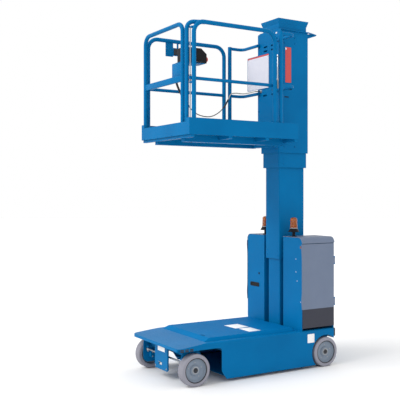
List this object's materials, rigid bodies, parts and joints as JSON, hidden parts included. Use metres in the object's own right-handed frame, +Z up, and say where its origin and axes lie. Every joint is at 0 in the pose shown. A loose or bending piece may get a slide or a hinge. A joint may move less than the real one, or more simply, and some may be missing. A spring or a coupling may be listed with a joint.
{
  "type": "self-propelled vertical mast lift",
  "caption": "Mobile vertical mast lift: a telescoping mast on a low wheeled chassis raises a guard-railed one-person platform.",
  "frame": {"origin": "on the floor, midway between the axles and on the machine's centre plane", "axes": "+Z up; the nose with the steered wheels points along -Y and the mast stands towards +Y; +X is the machine's left as the operator on the platform faces the nose, the entry side"},
  "size_m": [0.985, 1.94, 3.655],
  "materials": {
    "blue_paint": "gloss",
    "deck_paint": "satin",
    "cover_grey": "satin",
    "cover_dark": "matte",
    "tyre_grey": "matte",
    "rim_grey": "satin",
    "bright_steel": "polished",
    "zinc_steel": "satin",
    "black_rubber": "matte",
    "black_plastic": "matte",
    "amber_lens": "gloss",
    "red_plastic": "gloss",
    "red_marker": "satin",
    "board_white": "satin",
    "floor_plate": "brushed"
  },
  "bodies": {
    "chassis": {"chassis_frame": "blue_paint", "deck_panel": "deck_paint", "front_plate": "blue_paint", "front_axle": "blue_paint", "rear_axle": "zinc_steel", "rear_bumpers": "black_rubber", "mast_stage_1": "blue_paint", "lift_barrel": "black_plastic", "cabinets": "blue_paint", "cabinet_caps": "cover_grey", "power_packs": "black_plastic", "beacon_bases": "black_plastic", "beacon_lenses": "amber_lens"},
    "knuckle_left": {"knuckle_left": "blue_paint"},
    "knuckle_right": {"knuckle_right": "blue_paint"},
    "tie_rod": {"tie_rod": "zinc_steel"},
    "wheel_front_left": {"tyre_front_left": "tyre_grey", "rim_front_left": "rim_grey"},
    "wheel_front_right": {"tyre_front_right": "tyre_grey", "rim_front_right": "rim_grey"},
    "wheel_rear_left": {"tyre_rear_left": "tyre_grey", "rim_rear_left": "rim_grey"},
    "wheel_rear_right": {"tyre_rear_right": "tyre_grey", "rim_rear_right": "rim_grey"},
    "mast_middle": {"mast_stage_2": "blue_paint", "lift_rod": "bright_steel"},
    "mast_upper": {"mast_stage_3": "blue_paint", "carriage": "blue_paint", "platform_frame": "blue_paint", "platform_floor": "floor_plate", "toe_boards": "blue_paint", "side_rails": "blue_paint", "front_rail": "blue_paint", "rear_rails": "blue_paint", "guide_rods": "bright_steel", "control_bracket": "blue_paint", "control_box": "black_plastic", "stop_knob": "red_plastic", "notice_board": "board_white", "marker_strip": "red_marker", "control_cable": "black_rubber"},
    "entry_gate": {"entry_rail": "blue_paint"},
    "door_left": {"door_left": "cover_grey", "door_band_left": "cover_dark"},
    "door_right": {"door_right": "cover_grey", "door_band_right": "cover_dark"}
  },
  "joints": [
    {"name": "steer_left", "type": "hinge", "parent": "chassis", "child": "knuckle_left", "pos_m": [-0.3455, -0.785, 0.3], "axis": [0, 0, 1], "range_deg": [-75, 75]},
    {"name": "steer_right", "type": "hinge", "parent": "chassis", "child": "knuckle_right", "pos_m": [0.3455, -0.785, 0.3], "axis": [0, 0, 1], "range_deg": [-75, 75]},
    {"name": "tie_rod_pivot", "type": "hinge", "parent": "knuckle_left", "child": "tie_rod", "pos_m": [-0.3455, -0.86, 0.213], "axis": [0, 0, 1], "range_deg": [-75, 75]},
    {"name": "wheel_front_left_spin", "type": "hinge", "parent": "knuckle_left", "child": "wheel_front_left", "pos_m": [-0.4475, -0.785, 0.1525], "axis": [1, 0, 0], "continuous": true},
    {"name": "wheel_rear_left_spin", "type": "hinge", "parent": "chassis", "child": "wheel_rear_left", "pos_m": [-0.4475, 0.785, 0.1525], "axis": [1, 0, 0], "continuous": true},
    {"name": "wheel_front_right_spin", "type": "hinge", "parent": "knuckle_right", "child": "wheel_front_right", "pos_m": [0.4475, -0.785, 0.1525], "axis": [1, 0, 0], "continuous": true},
    {"name": "wheel_rear_right_spin", "type": "hinge", "parent": "chassis", "child": "wheel_rear_right", "pos_m": [0.4475, 0.785, 0.1525], "axis": [1, 0, 0], "continuous": true},
    {"name": "mast_lower_slide", "type": "slide", "parent": "chassis", "child": "mast_middle", "axis": [0, 0, 1], "range_m": [-0.905, 0.2]},
    {"name": "mast_upper_slide", "type": "slide", "parent": "mast_middle", "child": "mast_upper", "axis": [0, 0, 1], "range_m": [-0.905, 0.2]},
    {"name": "entry_rail_slide", "type": "slide", "parent": "mast_upper", "child": "entry_gate", "axis": [0, 0, 1], "range_m": [0, 0.42]},
    {"name": "door_left_hinge", "type": "hinge", "parent": "chassis", "child": "door_left", "pos_m": [-0.4835, 0.905, 0.8], "axis": [0, 0, -1], "range_deg": [0, 100]},
    {"name": "door_right_hinge", "type": "hinge", "parent": "chassis", "child": "door_right", "pos_m": [0.4835, 0.905, 0.8], "axis": [0, 0, 1], "range_deg": [0, 100]}
  ],
  "couplings": [
    {"joint": "steer_right", "follows": "steer_left", "ratio": 1},
    {"joint": "tie_rod_pivot", "follows": "steer_left", "ratio": -1},
    {"joint": "mast_upper_slide", "follows": "mast_lower_slide", "ratio": 1}
  ]
}
